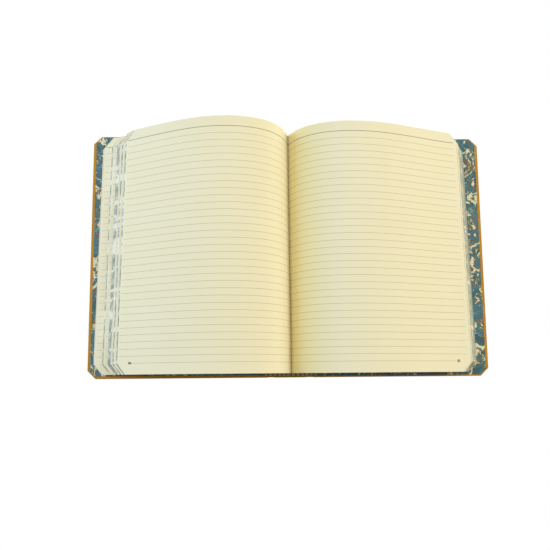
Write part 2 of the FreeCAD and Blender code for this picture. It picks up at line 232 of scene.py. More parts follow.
def build_half_block(side):
    """One half of the open pages: leaves from the hollow of the spine to the fanned fore-edge."""
    bm = bmesh.new()
    uv = bm.loops.layers.uv.new("UVMap")
    cut_across, cut_along = corner_cut(side)
    tail_y = cut_along - half_page
    slant = math.hypot(cut_across, cut_along)
    sections = [half_section(side, end, cut_across) for end in (TAIL, HEAD)]
    rows, _, tail_top_line = sections[0]
    head_rows = sections[1][0]
    last = len(tail_top_line) - 1
    cut_column = last - CORNER_COLUMNS
    top_row = len(rows) - 1
    grid = slice_box(bm, (last, LANES, top_row))

    def fore_edge_hold(column):
        """How far a column follows the fore-edge's own shape."""
        return smooth_step((column / cut_column - HOLD_FROM) / (1 - HOLD_FROM))

    def place_in_section(section, column, row):
        """A leaf's place in one of the two sections, across the spread and up."""
        section_rows, base_line, top_line = section
        share, edge, _ = section_rows[row]
        spot = base_line[column].lerp(top_line[column], share)
        straight_end = base_line[last].lerp(top_line[last], share)
        spot += fore_edge_hold(column) * (edge - straight_end)
        arc_start = base_line[0].lerp(top_line[0], share)
        arc_spot = Vector((arc_start.x, leaf_height(arc_start.x, from_above=False)))
        spot += (1 - smooth_step(column / HOLLOW_COLUMNS)) * (arc_spot - arc_start)
        return spot

    def place(column, lane, row):
        """A corner of the grid, between the two sections and with the leaves' unevenness."""
        y_limit = half_page - cut_along * max(0.0, column - cut_column) / CORNER_COLUMNS
        y = (2 * lane / LANES - 1) * y_limit
        tail_spot, head_spot = (place_in_section(section, column, row) for section in sections)
        spot = tail_spot.lerp(head_spot, 0.5 - 0.5 * y / tail_y)
        if 0 < row < top_row:
            edge_place = Vector((y / SLIP_WAVE, SLIP_STEP * row, side))
            spot.x += fore_edge_hold(column) * SLIP * noise.noise(edge_place)
            if lane in (0, LANES):
                y += SLIP * noise.noise(Vector((spot.x / END_SLIP_WAVE, END_SLIP_STEP * row, lane)))
        share = rows[row][0]
        if column:
            lean = GUTTER_LEAN_FOOT + (GUTTER_LEAN_HEAD - GUTTER_LEAN_FOOT) * (0.5 + 0.5 * y / half_page)
            spot.x -= lean * share**2 * (1 - smooth_step((column - 1) / LEAN_COLUMNS))
        lift = math.sin(math.pi * min(max(column - 1, 0) / (cut_column - 1), 1.0)) * share**6
        cockle_place = Vector((spot.x / COCKLE_WAVE[0], y / COCKLE_WAVE[1], side))
        spot.y += COCKLE * lift * noise.noise(cockle_place)
        return Vector((spot.x, y, spot.y))

    for vert, (column, lane, row) in grid.items():
        vert.co = place(column, lane, row)

    closed_faces = []
    for face in bm.faces:
        steps = [grid[vert] for vert in face.verts]
        column_low, _, row_low = (min(step[axis] for step in steps) for axis in range(3))
        column_high, _, row_high = (max(step[axis] for step in steps) for axis in range(3))
        is_margin = rows[row_low][2] and row_high > row_low and column_high > cut_column
        on_page = row_low == top_row or row_high == 0 or is_margin
        if row_low == top_row and column_high <= 1:
            closed_faces.append(face)
        face.material_index = 0 if on_page else 1
        face.smooth = True
        for loop in face.loops:
            spot = loop.vert.co
            row = row_low if is_margin else grid[loop.vert][2]
            share, edge, _ = rows[row]
            edge_here = edge.lerp(head_rows[row][1], 0.5 - 0.5 * spot.y / tail_y)
            reach = side * (edge_here.x - spot.x)
            # The leaf's place in the closed book, counted from the left cover
            depth = (share if side == LEFT else 2 - share) * HALF_CLOSED_THICKNESS
            # On a page the map holds the way in from the rules' ends and the way up the page, and on
            # the edges the way round them from their middle and the depth
            if on_page:
                loop[uv].uv = (reach - RULE_STOP[side], spot.y)
            elif column_low == last:
                loop[uv].uv = (spot.y, depth)
            else:
                round_corner = min(reach / cut_across, 1) * slant + max(reach - cut_across, 0)
                loop[uv].uv = (math.copysign(round_corner - tail_y, spot.y), depth)
    bmesh.ops.delete(bm, geom=closed_faces, context="FACES")
    half_mesh = bpy.data.meshes.new("half_block")
    bm.to_mesh(half_mesh)
    bm.free()
    return half_mesh


def mark_hard_edges(bm, angle=math.radians(35)):
    """Keeps the shading crisp where two faces meet at more than the angle."""
    for edge in bm.edges:
        if len(edge.link_faces) == 2:
            edge.smooth = edge.calc_face_angle() < angle


def srgb(code):
    """A hex colour as the eye reads it, turned to linear light."""
    parts = [int(code[place : place + 2], 16) / 255 for place in (1, 3, 5)]
    linear = [part / 12.92 if part <= 0.04045 else ((part + 0.055) / 1.055) ** 2.4 for part in parts]
    return (*linear, 1.0)


def add(tree, kind, inputs=None, **settings):
    """Adds one node with its settings. An input is a number, a colour, a socket or a node, whose first
    output it takes."""
    made = tree.nodes.new("ShaderNode" + kind)
    for name, value in settings.items():
        setattr(made, name, value)
    for key, value in (inputs or {}).items():
        if isinstance(value, bpy.types.Node):
            value = value.outputs[0]
        if isinstance(value, bpy.types.NodeSocket):
            tree.links.new(value, made.inputs[key])
        else:
            made.inputs[key].default_value = value
    return made


def start_material(name, roughness, gloss):
    """A new material with its own node tree and a surface of one roughness and gloss."""
    material = bpy.data.materials.new(name)
    material.use_nodes = True
    tree = material.node_tree
    surface = tree.nodes["Principled BSDF"]
    surface.inputs["Roughness"].default_value = roughness
    surface.inputs["Specular IOR Level"].default_value = gloss
    return material, tree, surface


# Sockets of a Mix node that blends colours
FACTOR, COLOUR_A, COLOUR_B, BLENDED = 0, 6, 7, 2


def stretch(tree, place, sizes):
    """Places counted in forms of these sizes across, along and upwards, for the mottle drawn on them."""
    return add(tree, "Mapping", {"Vector": place, "Scale": tuple(1 / size for size in sizes)})


def mottle(tree, place, size, detail, **more):
    """Soft random mottling, its forms of about one size."""
    return add(tree, "TexNoise", {"Vector": place, "Scale": 1 / size, "Detail": detail, **more})


def mixed(tree, factor, first, second):
    """A colour between two others, each a hex colour or a socket."""
    first, second = (srgb(colour) if isinstance(colour, str) else colour for colour in (first, second))
    inputs = {FACTOR: factor, COLOUR_A: first, COLOUR_B: second}
    return add(tree, "Mix", inputs, data_type="RGBA").outputs[BLENDED]


def calc(tree, operation, *terms):
    """One step of arithmetic on numbers and sockets."""
    return add(tree, "Math", dict(enumerate(terms)), operation=operation)


def remap(tree, value, before, after, **settings):
    """A value carried from the range before to the range after."""
    return add(tree, "MapRange", dict(enumerate((value, *before, *after))), **settings)


def emboss(tree, surface, height, strength, depth):
    """Raises the surface by a pattern of heights."""
    bump = add(tree, "Bump", {"Height": height, "Strength": strength, "Distance": depth})
    tree.links.new(bump.outputs[0], surface.inputs["Normal"])


RULE_PITCH = 7.1 * MM
RULE_COUNT = 34
LAST_RULE_Y = -116.9 * MM
HEAD_RULE_Y = 117.4 * MM
RULE_WIDTH = 0.26 * MM
HEAD_RULE_WIDTH = 0.5 * MM
INK_SPREAD = 0.06 * MM
# The last rule stops this much earlier, and leaves room for the page number
FOLIO_ROOM = 13.5 * MM
# Painted bounce light: the right page is tinted warm yellow in full up to the first distance from the
# fold, and not at all past the second
FOLD_BOUNCE_REACH = (6 * MM, 48 * MM)


def ruled_writing_paper():
    """Uncoated writing paper, offset ruled: matt and cream, with thin olive-brown rules. It is a little
    cloudy, and painted a warm yellow where the right page runs down into the fold, for the light that
    the pages throw back into it."""
    material, tree, surface = start_material("ruled_writing_paper", 0.9, 0.2)
    place = add(tree, "TexCoord").outputs["Object"]
    cloud = mottle(tree, place, 45 * MM, 2.0)
    fibre = mottle(tree, place, 0.9 * MM, 3.0)
    paper = mixed(tree, cloud, "#F1E9C6", "#EFE6BF")
    axes = add(tree, "SeparateXYZ", {0: place})
    y = axes.outputs["Y"]
    past_fold = calc(tree, "GREATER_THAN", axes.outputs["X"], gutter_x)
    fade = [gutter_x + distance for distance in FOLD_BOUNCE_REACH]
    near_fold = remap(tree, axes.outputs["X"], fade, (1.0, 0.0), interpolation_type="SMOOTHSTEP")
    # Painted bounce light: warm yellow laid on the right page near the fold
    painted_fold_bounce = calc(tree, "MULTIPLY", past_fold, near_fold)
    paper = mixed(tree, painted_fold_bounce, paper, "#F2E3A5")
    reach = add(tree, "SeparateXYZ", {0: add(tree, "UVMap", uv_map="UVMap")}).outputs["X"]
    steps = remap(tree, y, (LAST_RULE_Y, LAST_RULE_Y + RULE_PITCH), (0.0, 1.0), clamp=False)
    nearest = calc(tree, "ROUND", steps)
    off = calc(tree, "SUBTRACT", steps, nearest)
    distance = calc(tree, "ABSOLUTE", off)
    half = RULE_WIDTH / 2 / RULE_PITCH
    rule = remap(tree, distance, (half, half + INK_SPREAD / RULE_PITCH), (1.0, 0.0))
    middle = (RULE_COUNT - 1) / 2
    from_middle = calc(tree, "SUBTRACT", nearest, middle)
    count = calc(tree, "ABSOLUTE", from_middle)
    counted = calc(tree, "LESS_THAN", count, middle + 0.5)
    is_last = calc(tree, "LESS_THAN", nearest, 0.5)
    stop = calc(tree, "MULTIPLY", is_last, FOLIO_ROOM)
    within = calc(tree, "GREATER_THAN", reach, stop)
    rule = calc(tree, "MULTIPLY", rule, counted)
    rule = calc(tree, "MULTIPLY", rule, within)
    head_off = calc(tree, "SUBTRACT", y, HEAD_RULE_Y)
    head_distance = calc(tree, "ABSOLUTE", head_off)
    head_half = HEAD_RULE_WIDTH / 2
    head = remap(tree, head_distance, (head_half, head_half + INK_SPREAD), (1.0, 0.0))
    head_within = calc(tree, "GREATER_THAN", reach, 0.0)
    head = calc(tree, "MULTIPLY", head, head_within)
    ruled = mixed(tree, rule, paper, "#B9AB78")
    headed = mixed(tree, head, ruled, "#857F5E")
    tree.links.new(headed, surface.inputs["Base Color"])
    emboss(tree, surface, fibre, 0.12, 0.05 * MM)
    return material


# A leaf is about 0.1 mm thick; the lines of the cut edges are drawn three leaves wide, so that they show
LEAF_LINE = 0.3 * MM
LEAF_LINE_LENGTH = 30 * MM
# From one line to the next the print is shifted along by up to this much either way
LEAF_STAGGER = 0.9 * MM
# Patches of print and the frays in them: length along the edges and depth through the closed book
PRINT_LENGTH = 12 * MM
PRINT_DEPTH = 45 * MM
FRAY_LENGTH = 7 * MM
FRAY_DEPTH = 0.8 * MM
# The lowest leaves of the left half, up to this depth, took no print
UNPRINTED_LEAVES = 3.9 * MM
# The print took better on the right half, and round the cut corners
RIGHT_INK = 0.06
CORNER_INK = 0.09
CUT_START = half_page - corner_cut(LEFT)[1]
CUT_LENGTH = math.hypot(*corner_cut(LEFT))


def printed_page_edges():
    """Cut edges of the leaves, rolled with a broken grey-green print that frays from leaf to leaf. On
    the cut corners it lies thicker, and is browner and darker."""
    material, tree, surface = start_material("printed_page_edges", 0.85, 0.2)
    sheet = add(tree, "UVMap", uv_map="UVMap")
    lines_place = stretch(tree, sheet, (LEAF_LINE_LENGTH, LEAF_LINE, 1.0))
    lines = mottle(tree, lines_place, 1.0, 3.0)
    axes = add(tree, "SeparateXYZ", {0: sheet})
    leaf = calc(tree, "SNAP", axes.outputs["Y"], LEAF_LINE)
    stagger = add(tree, "TexWhiteNoise", {"W": leaf}, noise_dimensions="1D")
    shift = remap(tree, stagger.outputs["Value"], (0.0, 1.0), (-LEAF_STAGGER, LEAF_STAGGER))
    along = calc(tree, "ADD", axes.outputs["X"], shift)
    print_place = add(tree, "CombineXYZ", {0: along, 1: axes.outputs["Y"]})
    stretched = stretch(tree, print_place, (PRINT_LENGTH, PRINT_DEPTH, 1.0))
    patches = mottle(tree, stretched, 1.0, 5.0, Roughness=0.62)
    right_half = calc(tree, "GREATER_THAN", axes.outputs["Y"], HALF_CLOSED_THICKNESS)
    patches = calc(tree, "MULTIPLY_ADD", right_half, RIGHT_INK, patches)
    from_middle = calc(tree, "ABSOLUTE", axes.outputs["X"])
    corner = calc(tree, "COMPARE", from_middle, CUT_START + CUT_LENGTH / 2, CUT_LENGTH / 2)
    patches = calc(tree, "MULTIPLY_ADD", corner, CORNER_INK, patches)
    printed = remap(tree, patches, (0.465, 0.485), (0.0, 1.0))
    frayed_place = stretch(tree, sheet, (FRAY_LENGTH, FRAY_DEPTH, 1.0))
    frayed = mottle(tree, frayed_place, 1.0, 2.0)
    thin = remap(tree, frayed, (0.36, 0.56), (0.12, 1.0))
    reached = calc(tree, "GREATER_THAN", axes.outputs["Y"], UNPRINTED_LEAVES)
    ink = calc(tree, "MULTIPLY", printed, thin)
    ink = calc(tree, "MULTIPLY", ink, reached)
    paper = mixed(tree, lines, "#D9D2B4", "#F3EDD4")
    pigment = mixed(tree, corner, "#848C7E", "#625D48")
    colour = mixed(tree, ink, paper, pigment)
    tree.links.new(colour, surface.inputs["Base Color"])
    emboss(tree, surface, lines, 0.35, 0.15 * MM)
    return material


def finish_piece(name, bm, body, materials, replaces=()):
    """Turns a finished mesh into a piece that rides on a body of the frame."""
    mesh = bpy.data.meshes.new(name)
    bm.to_mesh(mesh)
    bm.free()
    for material in materials:
        mesh.materials.append(material)
    piece = bpy.data.objects.new(name, mesh)
    bpy.context.scene.collection.objects.link(piece)
    if replaces:
        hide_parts(*replaces)
    if body:
        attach(piece, body)
    return piece


pages = bmesh.new()
for half in (LEFT, RIGHT):
    pages.from_mesh(build_half_block(half))
bmesh.ops.remove_doubles(pages, verts=pages.verts, dist=WELD)
bmesh.ops.recalc_face_normals(pages, faces=pages.faces)
mark_hard_edges(pages)
page_surface = BVHTree.FromBMesh(pages)
writing_paper = ruled_writing_paper()
page_edges = printed_page_edges()
finish_piece("page_block", pages, "block", [writing_paper, page_edges], ["text_block"])


# Page numbers: small plain figures, printed with the ruling in the two outer bottom corners.
# Here each is a skin of ink laid on the curve of its page.
FIGURE_HEIGHT = 2.4 * MM
FIGURE_SHARE_OF_TYPE = 0.7
FIGURE_FROM_EDGE = 14 * MM
FIGURE_BOLDNESS = 0.1 * MM
# The skin is this thick, and its middle lies this far above the page
INK_SKIN = 0.03 * MM
INK_LIFT = 0.6 * INK_SKIN


def printing_ink():
    """Dull, nearly black printing ink, far darker than the rules."""
    material, tree, surface = start_material("printing_ink", 0.75, 0.3)
    place = add(tree, "TexCoord").outputs["Object"]
    grain = mottle(tree, place, 0.4 * MM, 2.0)
    colour = mixed(tree, grain, "#2F2D26", "#4D4A3E")
    tree.links.new(colour, surface.inputs["Base Color"])
    return material


def print_page_number(side, figures, ink):
    """Sets the figures flat, and drops them on the curve of the page."""
    words = bpy.data.curves.new("figures", "FONT")
    words.body = figures
    words.size = FIGURE_HEIGHT / FIGURE_SHARE_OF_TYPE
    words.align_x = "CENTER"
    words.align_y = "CENTER"
    words.offset = FIGURE_BOLDNESS
    words.extrude = INK_SKIN / 2
    words.resolution_u = 4
    source = bpy.data.objects.new("figures", words)
    bpy.context.scene.collection.objects.link(source)
    bpy.context.view_layer.update()
    flat = bpy.data.meshes.new_from_object(source.evaluated_get(bpy.context.evaluated_depsgraph_get()))
    bpy.data.objects.remove(source)
    bm = bmesh.new()
    bm.from_mesh(flat)
    bmesh.ops.remove_doubles(bm, verts=bm.verts, dist=WELD)
    _, corners = bundle_corners(side, TAIL)
    middle = Vector((corners[-1].x - side * FIGURE_FROM_EDGE, LAST_RULE_Y, 0))
    bmesh.ops.translate(bm, verts=bm.verts, vec=middle)
    for vert in bm.verts:
        above = Vector((vert.co.x, vert.co.y, 2 * block_high.z))
        page = page_surface.ray_cast(above, Vector((0, 0, -1)))[0]
        vert.co.z += page.z + INK_LIFT
    bmesh.ops.recalc_face_normals(bm, faces=bm.faces)
    name = f"{SIDE_NAME[side]}_page_number"
    finish_piece(name, bm, "block", [ink])


figure_ink = printing_ink()
print_page_number(LEFT, "84", figure_ink)
print_page_number(RIGHT, "85", figure_ink)


# Spine lining: brown kraft paper glued over the backs of the sections, between the headband tapes.
# It keeps its curve inside the hollow, where it shows only from the two ends.
KRAFT_FIBRE = (0.5 * MM, 6 * MM, 0.5 * MM)


def kraft_paper():
    """Machine-glazed kraft: brown, with long darker fibres that run up the spine."""
    material, tree, surface = start_material("kraft_paper", 0.8, 0.25)
    place = add(tree, "TexCoord").outputs["Object"]
    grain_place = stretch(tree, place, KRAFT_FIBRE)
    grain = mottle(tree, grain_place, 1.0, 4.0)
    colour = mixed(tree, grain, "#8D6B45", "#C39F72")
    tree.links.new(colour, surface.inputs["Base Color"])
    emboss(tree, surface, grain, 0.2, 0.1 * MM)
    return material


kraft = kraft_paper()
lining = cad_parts["spine_lining"]
lining.material_slots[0].material = kraft


# Headbands: a cord core wound with cream and gold thread, stuck by its tape to the ends of the block's
# spine. The threads stand proud as ridges round the bead, and the tape is plain woven cotton.
BEAD_RADIUS = 1.2 * MM
TAPE_THICKNESS = 0.5 * MM
THREAD_WIDTH = 0.8 * MM
THREAD_DIP = 0.12 * MM
THREADS_TOGETHER = 3
STEPS_IN_THREAD = 6
BEAD_SIDES = 14
TAPE_STEPS = 24

hollow_top = leaf_height(0, from_above=False)
hollow_rise = hollow_top - block_low.z
hollow_radius = (hollow_half**2 + hollow_rise**2) / (2 * hollow_rise)
hollow_axis = Vector((0, 0, hollow_top - hollow_radius))
hollow_angle = 2 * math.asin(hollow_half / hollow_radius)


def wound_thread(name, pale, deep):
    """Twisted rayon thread, with the soft shine of its twist."""
    material, tree, surface = start_material(name, 0.45, 0.5)
    surface.inputs["Sheen Weight"].default_value = 0.3
    place = add(tree, "TexCoord").outputs["Object"]
    twist = mottle(tree, place, 0.3 * MM, 2.0)
    colour = mixed(tree, twist, deep, pale)
    tree.links.new(colour, surface.inputs["Base Color"])
    emboss(tree, surface, twist, 0.4, 0.1 * MM)
    return material


def wrap_round_hollow(bm, section, steps):
    """Carries a section, drawn over the middle of the hollow, round the curve of the spine."""
    start = Matrix.Rotation(-hollow_angle / 2, 3, "Y")
    bmesh.ops.rotate(bm, verts=section, cent=hollow_axis, matrix=start)
    edges = {edge for vert in section for edge in vert.link_edges}
    bmesh.ops.spin(
        bm,
        geom=section + list(edges),
        cent=hollow_axis,
        axis=(0, 1, 0),
        angle=hollow_angle,
        steps=steps,
        use_merge=False,
    )


def turn_along_bead(spot):
    """How far round the spine a place lies, from 0 at one end of the curve to 1 at the other."""
    return 0.5 + math.atan2(spot.x, spot.z - hollow_axis.z) / hollow_angle


def build_headband(node, end, materials):
    """The wound bead over one end of the spine's curve, and the tape that holds it."""
    bead_y = end * (half_page + BEAD_RADIUS)
    core_radius = hollow_radius - TAPE_THICKNESS / 2
    count = round(hollow_angle * core_radius / THREAD_WIDTH)
    bm = bmesh.new()
    ring = bmesh.ops.create_circle(bm, segments=BEAD_SIDES, radius=BEAD_RADIUS)["verts"]
    bmesh.ops.rotate(bm, verts=ring, cent=(0, 0, 0), matrix=Matrix.Rotation(math.pi / 2, 3, "Y"))
    bmesh.ops.translate(bm, verts=ring, vec=(0, bead_y, hollow_axis.z + core_radius))
    wrap_round_hollow(bm, ring, count * STEPS_IN_THREAD)
    for vert in bm.verts:
        thread = turn_along_bead(vert.co) * count
        turn = (thread / count - 0.5) * hollow_angle
        core = hollow_axis + Vector((math.sin(turn), 0, math.cos(turn))) * core_radius
        core.y = bead_y
        dip = THREAD_DIP * (1 - abs(math.sin(math.pi * thread)))
        vert.co -= (vert.co - core).normalized() * dip
    bmesh.ops.holes_fill(bm, edges=[edge for edge in bm.edges if edge.is_boundary])
    for face in bm.faces:
        thread = int(turn_along_bead(face.calc_center_median()) * count)
        face.material_index = thread // THREADS_TOGETHER % 2
        face.smooth = True
    bead_faces = set(bm.faces)

    tape_y = sorted((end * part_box("spine_lining")[1].y, bead_y))
    tape_top = hollow_axis.z + hollow_radius
    places = [(y, z) for y in tape_y for z in (tape_top - TAPE_THICKNESS, tape_top)]
    tape = [bm.verts.new((0, *places[index])) for index in (0, 1, 3, 2)]
    for start, follower in zip(tape, tape[1:] + tape[:1]):
        bm.edges.new((start, follower))
    wrap_round_hollow(bm, tape, TAPE_STEPS)
    bmesh.ops.holes_fill(bm, edges=[edge for edge in bm.edges if edge.is_boundary])
    for face in set(bm.faces) - bead_faces:
        face.material_index = 2
    bmesh.ops.remove_doubles(bm, verts=bm.verts, dist=WELD)
    bmesh.ops.recalc_face_normals(bm, faces=bm.faces)
    mark_hard_edges(bm)
    finish_piece(f"{node}_threads", bm, "block", materials, [node])


# Painted shade: both thread colours are far darker than the threads' own cream and gold, for the shadow
# that the overhanging pages cast on the headbands
cream_thread_painted_shade = wound_thread("cream_thread_painted_shade", "#BBA567", "#8E7638")
gold_thread_painted_shade = wound_thread("gold_thread_painted_shade", "#6E4F18", "#47310D")
cotton_tape = wound_thread("cotton_tape", "#E9E1C9", "#CFC5A6")
for band, band_end in (("head_headband", HEAD), ("tail_headband", TAIL)):
    build_headband(band, band_end, [cream_thread_painted_shade, gold_thread_painted_shade, cotton_tape])


# Endpapers: one folded sheet at each end of the block, marbled on the side that faces its own fold.
# The free leaf stays with the pages; the other is pasted on the board, and the fold bridges the joint.
LEAF_THICKNESS = 0.25 * MM
# The marbling from coarse to fine, by the size of its forms. The reaches are how far the colours are
# drawn by the swirl of the bath and by the comb
SWIRL = 36 * MM
SWIRL_REACH = 45 * MM
OPEN_FIELD = 26 * MM
POOL = 14 * MM
VEIN = 11 * MM
COMB = 6 * MM
COMB_REACH = 9 * MM
CURL = 4.7 * MM
CURL_LENGTH = CURL / 0.55
FLECK = 3 * MM
# Where the greyed rim of the right free leaf begins, across the spread
RIM_START = 188 * MM
RIM_BLEND = 3 * MM


def marbled_paper():
    """Marbled paper: colours dropped on a bath, combed into curls and lifted off on the sheet.
    Teal ground; cream curls with green-brown rims, olive edges, rust flecks and pale thin veins."""
    material, tree, surface = start_material("marbled_endpaper", 0.5, 0.35)
    place = add(tree, "TexCoord").outputs["Object"]
    flat = add(tree, "VectorMath", {0: place, 1: (1.0, 1.0, 0.0)}, operation="MULTIPLY")
    drawn = flat
    for width, reach in ((SWIRL, SWIRL_REACH), (COMB, COMB_REACH)):
        bend = mottle(tree, flat, width, 1.0)
        push = add(
            tree, "VectorMath", {0: bend.outputs["Color"], 1: (0.5, 0.5, 0.5)}, operation="SUBTRACT"
        )
        scaled = add(tree, "VectorMath", {0: push, "Scale": reach}, operation="SCALE")
        drawn = add(tree, "VectorMath", {0: drawn, 1: scaled}, operation="ADD")
    ground_cloud = mottle(tree, drawn, POOL, 2.0)
    ground = add(tree, "ValToRGB", {0: ground_cloud})
    ramp = ground.color_ramp
    ramp.elements[0].position, ramp.elements[0].color = 0.36, srgb("#1D5058")
    ramp.elements[1].position, ramp.elements[1].color = 0.66, srgb("#34687E")
    ramp.elements.new(0.5).color = srgb("#2D6A73")
    colour = ground.outputs["Color"]

    field = mottle(tree, flat, OPEN_FIELD, 1.0)
    calm = remap(tree, field, (0.4, 0.62), (0.0, 0.14))
    combed = stretch(tree, drawn, (CURL, CURL_LENGTH, 1.0))
    curls = mottle(tree, combed, 1.0, 3.0, Distortion=0.9)
    curl = calc(tree, "SUBTRACT", curls, calm)
    veins = mottle(tree, drawn, VEIN, 1.0)
    from_vein = calc(tree, "SUBTRACT", veins, 0.5)
    off_vein = calc(tree, "ABSOLUTE", from_vein)
    flecks = mottle(tree, drawn, FLECK, 2.0)
    layers = (
        (off_vein, 0.012, 0.004, "#7FA09A"),
        (curl, 0.476, 0.486, "#343B2C"),
        (curl, 0.503, 0.51, "#8C7428"),
        (curl, 0.527, 0.538, "#DDD9B8"),
        (flecks, 0.59, 0.605, "#454631"),
        (flecks, 0.645, 0.66, "#9C6228"),
    )
    for field_value, edge, inside, dye in layers:
        laid = remap(tree, field_value, (edge, inside), (0.0, 1.0))
        colour = mixed(tree, laid, colour, dye)
    tree.links.new(colour, surface.inputs["Base Color"])
    size_coat = mottle(tree, place, 1.2 * MM, 2.0)
    emboss(tree, surface, size_coat, 0.08, 0.05 * MM)
    return material


def plain_endpaper():
    """The unprinted side of the endpaper: smooth cream paper, its right rim greyed by the edge print."""
    material, tree, surface = start_material("plain_endpaper", 0.85, 0.2)
    place = add(tree, "TexCoord").outputs["Object"]
    fibre = mottle(tree, place, 1.5 * MM, 4.0)
    colour = mixed(tree, fibre, "#E7E0C4", "#F0EAD2")
    across = add(tree, "SeparateXYZ", {0: place}).outputs["X"]
    rim = remap(tree, across, (RIM_START, RIM_START + RIM_BLEND), (0.0, 0.8))
    rimmed = mixed(tree, rim, colour, "#94A5A0")
    tree.links.new(rimmed, surface.inputs["Base Color"])
    return material


def merged_copy(node):
    """A copy of a CAD node's mesh, its triangles merged into whole faces."""
    bm = bmesh.new()
    bm.from_mesh(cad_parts[node].data)
    bmesh.ops.remove_doubles(bm, verts=bm.verts, dist=WELD)
    bmesh.ops.dissolve_limit(bm, angle_limit=math.radians(1), verts=bm.verts, edges=bm.edges)
    return bm


def build_free_leaf(side, materials):
    """The free leaf, marbled below and blank above."""
    name = f"{SIDE_NAME[side]}_flyleaf"
    bm = merged_copy(name)
    for face in bm.faces:
        face.material_index = 0 if face.normal.z < -0.5 else 1
    finish_piece(f"{name}_sheet", bm, "block", materials, [name])


def carry_strip(bm, line, thickness, half_length, lanes):
    """A thin strip of even thickness along Y, over a line of places across the joint."""
    verts = [bm.verts.new((x, -half_length, z)) for x, z in line]
    edges = [bm.edges.new(pair) for pair in zip(verts, verts[1:])]
    made = bmesh.ops.extrude_edge_only(bm, edges=edges)["geom"]
    moved = [item for item in made if isinstance(item, bmesh.types.BMVert)]
    bmesh.ops.translate(bm, verts=moved, vec=(0, 2 * half_length, 0))
    long_edges = [edge for edge in bm.edges if abs(edge.verts[0].co.y - edge.verts[1].co.y) > half_length]
    bmesh.ops.subdivide_edges(bm, edges=long_edges, cuts=lanes - 1, use_grid_fill=True)
    bmesh.ops.recalc_face_normals(bm, faces=bm.faces)
    bmesh.ops.solidify(bm, geom=bm.faces[:], thickness=thickness)
    bmesh.ops.recalc_face_normals(bm, faces=bm.faces)
    for face in bm.faces:
        face.smooth = True
    mark_hard_edges(bm)


marbled = marbled_paper()
blank_side = plain_endpaper()
for edge_side in (LEFT, RIGHT):
    build_free_leaf(edge_side, [marbled, blank_side])
    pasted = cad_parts[f"{SIDE_NAME[edge_side]}_pastedown"]
    pasted.material_slots[0].material = marbled


# Steps of the fold round its bend and over its flat run, and lanes from tail to head
FOLD_STEPS = 6
FLAT_STEPS = 8
FOLD_LANES = 24


def fold_endpaper(side, material):
    """The fold of the endpaper: from the free leaf's inner edge, back under it to the pasted leaf."""
    free_low, free_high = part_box(f"{SIDE_NAME[side]}_flyleaf")
    pasted_low, pasted_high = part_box(f"{SIDE_NAME[side]}_pastedown")
    inner_free = min(abs(free_low.x), abs(free_high.x))
    inner_pasted = min(abs(pasted_low.x), abs(pasted_high.x))
    upper = (free_low.z + free_high.z) / 2
    lower = (pasted_low.z + pasted_high.z) / 2
    bend = (upper - lower) / 2
    middle = (upper + lower) / 2
    turns = [math.radians(90 - 180 * step / FOLD_STEPS) for step in range(FOLD_STEPS + 1)]
    line = [(inner_free - bend * math.cos(turn), middle + bend * math.sin(turn)) for turn in turns]
    reach = inner_pasted - inner_free
    line += [(inner_free + reach * step / FLAT_STEPS, lower) for step in range(1, FLAT_STEPS + 1)]
    bm = bmesh.new()
    carry_strip(bm, [(side * x, z) for x, z in line], LEAF_THICKNESS, half_page, FOLD_LANES)
    fold = finish_piece(f"{SIDE_NAME[side]}_endpaper_fold", bm, None, [material])
    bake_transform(fold)


for edge_side in (LEFT, RIGHT):
    fold_endpaper(edge_side, marbled)


# Case: two boards and a spine strip of greyboard, covered in one piece of amber book cloth.
# The cloth is glued down and turned in over the edges, and dips into a joint on each side of the spine.
WRAP_RADIUS = 0.9 * MM
SPINE_WRAP_RADIUS = 0.5 * MM
CLOTH_THICKNESS = 0.6 * MM
CLOTH_TURN_IN = 15 * MM
# In each joint the cloth dips into a groove, from just off the table. As drawn it laps the edges of
# board and spine; the sheet it is cut from is wider by a tuck on each side
CLOTH_LAP = 0.8 * MM
OUTER_SKIN = 0.06 * MM
GROOVE_DEPTH = 0.8 * MM
GROOVE_SLOPE_SHARE = 0.34
JOINT_END_CLEAR = 0.3 * MM
JOINT_STEPS = 18
JOINT_LANES = 32
# Threads lie 0.4 mm apart in the cloth; the weave is drawn half as coarse again, so that it shows
THREAD_PITCH = 0.6 * MM
# Size of a slub in the cloth: across the book, along it and upwards
SLUB = (0.7 * MM, 9 * MM, 2 * MM)


def book_cloth():
    """Starch-filled book cloth: plain-woven cotton dyed amber, matt, with slubs and rubbed high spots."""
    material, tree, surface = start_material("amber_book_cloth", 0.7, 0.2)
    surface.inputs["Sheen Weight"].default_value = 0.05
    place = add(tree, "TexCoord").outputs["Object"]
    weave = None
    for axis in "XYZ":
        bands = add(
            tree,
            "TexWave",
            {"Vector": place, "Scale": math.pi / 10 / THREAD_PITCH, "Distortion": 0.6, "Detail": 1.0},
            wave_type="BANDS",
            bands_direction=axis,
        )
        weave = bands if weave is None else calc(tree, "ADD", weave, bands)
    slub_place = stretch(tree, place, SLUB)
    slubs = mottle(tree, slub_place, 1.0, 3.0)
    dye = mottle(tree, place, 22 * MM, 3.0)
    ground = mixed(tree, dye, "#B0790A", "#C78F16")
    thread = remap(tree, weave, (0.6, 2.2), (0.0, 0.25))
    woven = mixed(tree, thread, ground, "#D6A226")
    streak = remap(tree, slubs, (0.5, 0.75), (0.0, 0.4))
    colour = mixed(tree, streak, woven, "#945D08")
    tree.links.new(colour, surface.inputs["Base Color"])
    emboss(tree, surface, weave, 0.5, 0.12 * MM)
    return material


def greyboard():
    """Greyboard: pressed waste paper, grey-brown, with specks of fibre."""
    material, tree, surface = start_material("greyboard", 0.9, 0.2)
    place = add(tree, "TexCoord").outputs["Object"]
    specks = mottle(tree, place, 0.6 * MM, 4.0)
    colour = mixed(tree, specks, "#8B8577", "#A9A292")
    tree.links.new(colour, surface.inputs["Base Color"])
    return material


